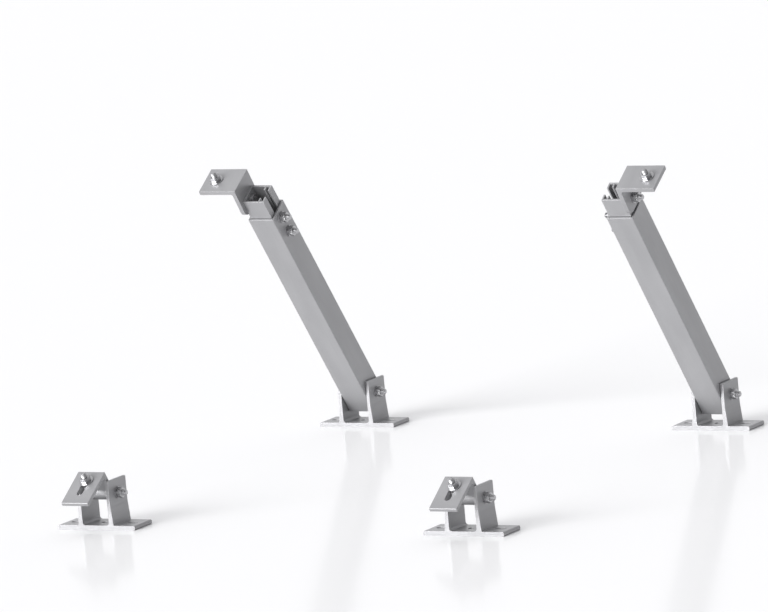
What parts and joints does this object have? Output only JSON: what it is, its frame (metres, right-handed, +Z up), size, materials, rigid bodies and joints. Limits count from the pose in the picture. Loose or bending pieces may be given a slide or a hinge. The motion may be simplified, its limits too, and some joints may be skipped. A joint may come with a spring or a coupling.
{
  "type": "adjustable solar panel mount",
  "caption": "Tilting aluminium mount for a framed solar panel: hinged front feet and telescoping rear legs with slotted anchor plates.",
  "frame": {"origin": "centre of the mount's bounding box, on the ground plane under the foot plates", "axes": "+X along the row of feet to the right, +Y from the front feet to the rear legs, +Z up"},
  "size_m": [0.7072, 0.8046, 0.4038],
  "materials": {
    "aluminium": "satin anodised",
    "stainless": "bright stainless"
  },
  "bodies": {
    "feet": {"front_left_base": "aluminium", "front_left_pivot_bolt": "stainless", "front_left_pivot_nut": "stainless", "front_left_pivot_washers": "stainless", "front_right_base": "aluminium", "front_right_pivot_bolt": "stainless", "front_right_pivot_nut": "stainless", "front_right_pivot_washers": "stainless", "rear_left_base": "aluminium", "rear_left_pivot_bolt": "stainless", "rear_left_pivot_nut": "stainless", "rear_left_pivot_washers": "stainless", "rear_right_base": "aluminium", "rear_right_pivot_bolt": "stainless", "rear_right_pivot_nut": "stainless", "rear_right_pivot_washers": "stainless"},
    "front_left_hinge": {"front_left_bracket": "aluminium", "front_left_panel_bolt": "stainless", "front_left_panel_nut": "stainless", "front_left_panel_washer": "stainless"},
    "rear_left_leg": {"rear_left_tube": "aluminium", "rear_left_lock_bolts": "stainless", "rear_left_lock_nuts": "stainless", "rear_left_lock_washers": "stainless"},
    "rear_left_slider": {"rear_left_channel": "aluminium", "rear_left_bracket_bolt": "stainless", "rear_left_bracket_nut": "stainless", "rear_left_bracket_washer": "stainless"},
    "rear_left_top": {"rear_left_top_bracket": "aluminium", "rear_left_panel_bolt": "stainless", "rear_left_panel_nut": "stainless", "rear_left_panel_washer": "stainless"},
    "front_right_hinge": {"front_right_bracket": "aluminium", "front_right_panel_bolt": "stainless", "front_right_panel_nut": "stainless", "front_right_panel_washer": "stainless"},
    "rear_right_leg": {"rear_right_tube": "aluminium", "rear_right_lock_bolts": "stainless", "rear_right_lock_nuts": "stainless", "rear_right_lock_washers": "stainless"},
    "rear_right_slider": {"rear_right_channel": "aluminium", "rear_right_bracket_bolt": "stainless", "rear_right_bracket_nut": "stainless", "rear_right_bracket_washer": "stainless"},
    "rear_right_top": {"rear_right_top_bracket": "aluminium", "rear_right_panel_bolt": "stainless", "rear_right_panel_nut": "stainless", "rear_right_panel_washer": "stainless"}
  },
  "joints": [
    {"name": "front_left_tilt", "type": "hinge", "parent": "feet", "child": "front_left_hinge", "pos_m": [-0.28, -0.33165, 0.047], "axis": [1, 0, 0], "range_deg": [-33, 27]},
    {"name": "front_right_tilt", "type": "hinge", "parent": "feet", "child": "front_right_hinge", "pos_m": [0.28, -0.33165, 0.047], "axis": [1, 0, 0], "range_deg": [-33, 27]},
    {"name": "rear_left_lean", "type": "hinge", "parent": "feet", "child": "rear_left_leg", "pos_m": [-0.28, 0.37435, 0.047], "axis": [1, 0, 0], "range_deg": [-36, 24]},
    {"name": "rear_left_extension", "type": "slide", "parent": "rear_left_leg", "child": "rear_left_slider", "axis": [0, -0.5878, 0.809], "range_m": [0, 0.15]},
    {"name": "rear_left_top_tilt", "type": "hinge", "parent": "rear_left_slider", "child": "rear_left_top", "pos_m": [-0.28, 0.14685, 0.36013], "axis": [1, 0, 0], "range_deg": [-25, 25]},
    {"name": "rear_right_lean", "type": "hinge", "parent": "feet", "child": "rear_right_leg", "pos_m": [0.28, 0.37435, 0.047], "axis": [1, 0, 0], "range_deg": [-36, 24]},
    {"name": "rear_right_extension", "type": "slide", "parent": "rear_right_leg", "child": "rear_right_slider", "axis": [0, -0.5878, 0.809], "range_m": [0, 0.15]},
    {"name": "rear_right_top_tilt", "type": "hinge", "parent": "rear_right_slider", "child": "rear_right_top", "pos_m": [0.28, 0.14685, 0.36013], "axis": [1, 0, 0], "range_deg": [-25, 25]}
  ]
}
